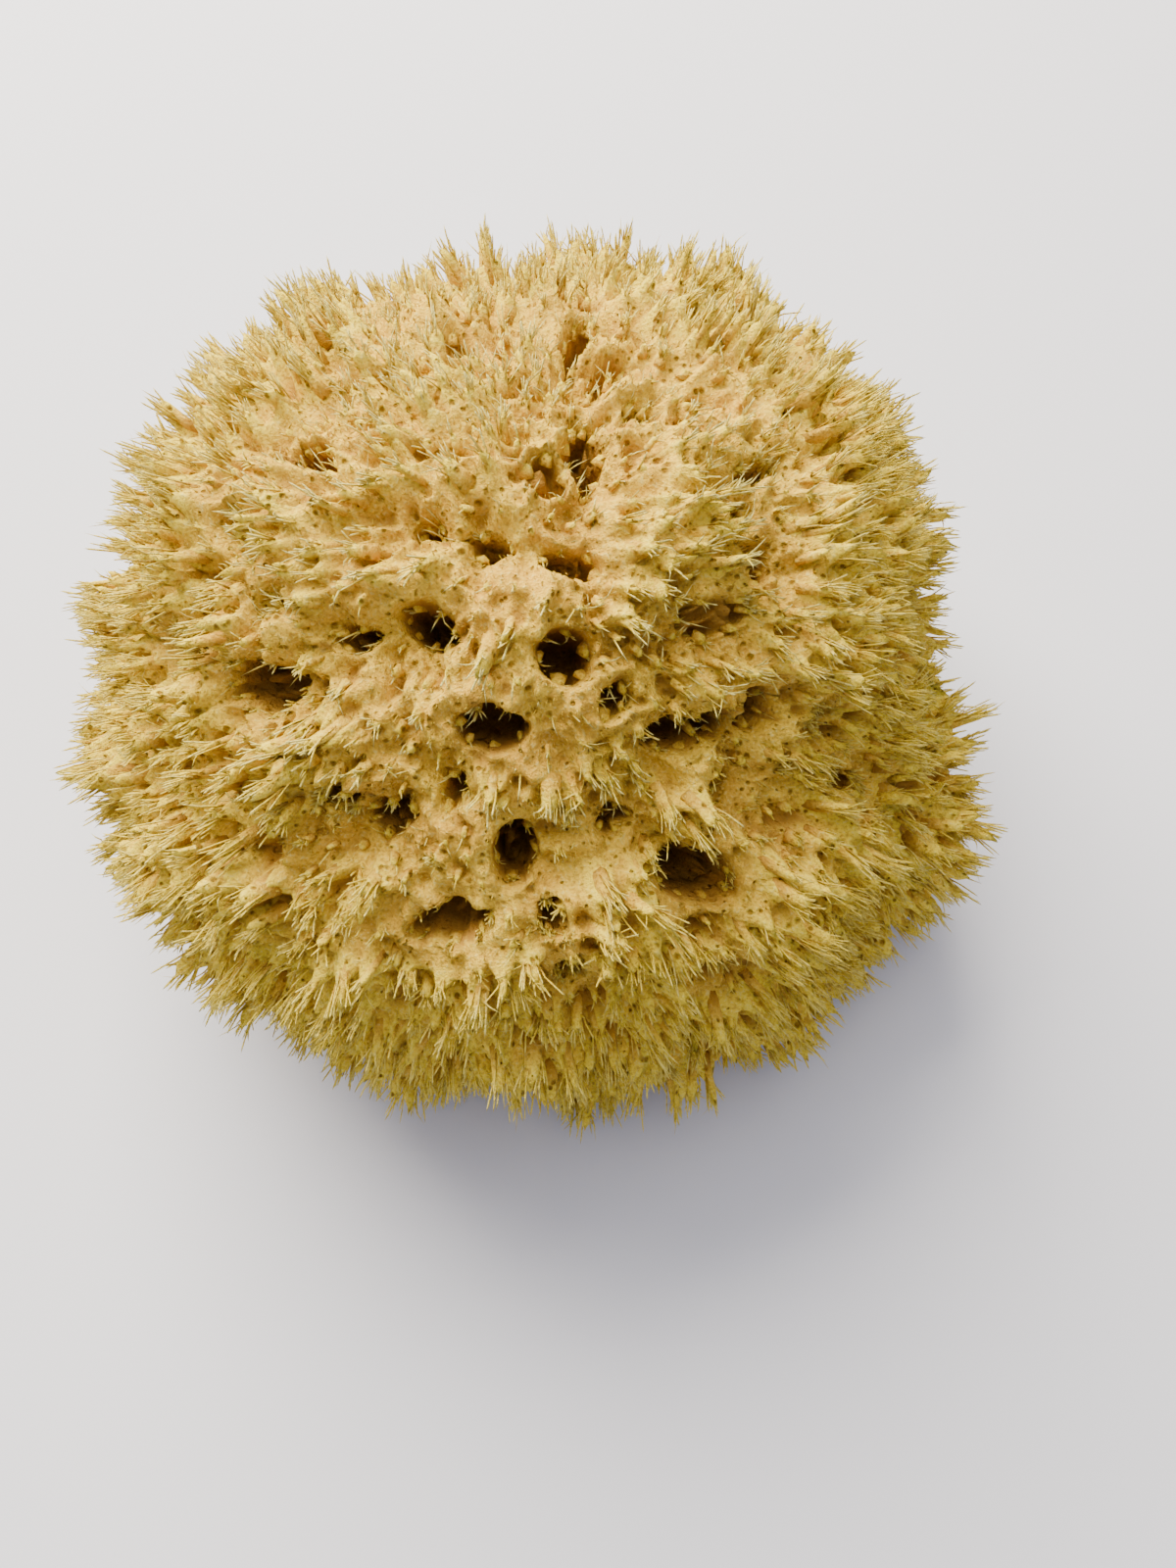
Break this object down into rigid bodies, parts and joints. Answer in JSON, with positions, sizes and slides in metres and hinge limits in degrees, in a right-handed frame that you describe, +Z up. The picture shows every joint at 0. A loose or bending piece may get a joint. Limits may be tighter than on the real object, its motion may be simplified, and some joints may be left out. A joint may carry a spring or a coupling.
{
  "type": "sea sponge",
  "caption": "Rounded natural bath sponge with a tufted fibre coat, dark openings over its crown and a flat cut base.",
  "frame": {"origin": "centre of the object's box in X and Y, at the flat cut base it rests on", "axes": "+Z up out of the cut base, -Y towards the viewer's side with the low front ledge, +X to the viewer's right"},
  "size_m": [0.1616, 0.1612, 0.1014],
  "materials": {
    "sponge_fibre": "matt dry fibre"
  },
  "bodies": {
    "root": {"sponge": "sponge_fibre"}
  },
  "joints": []
}
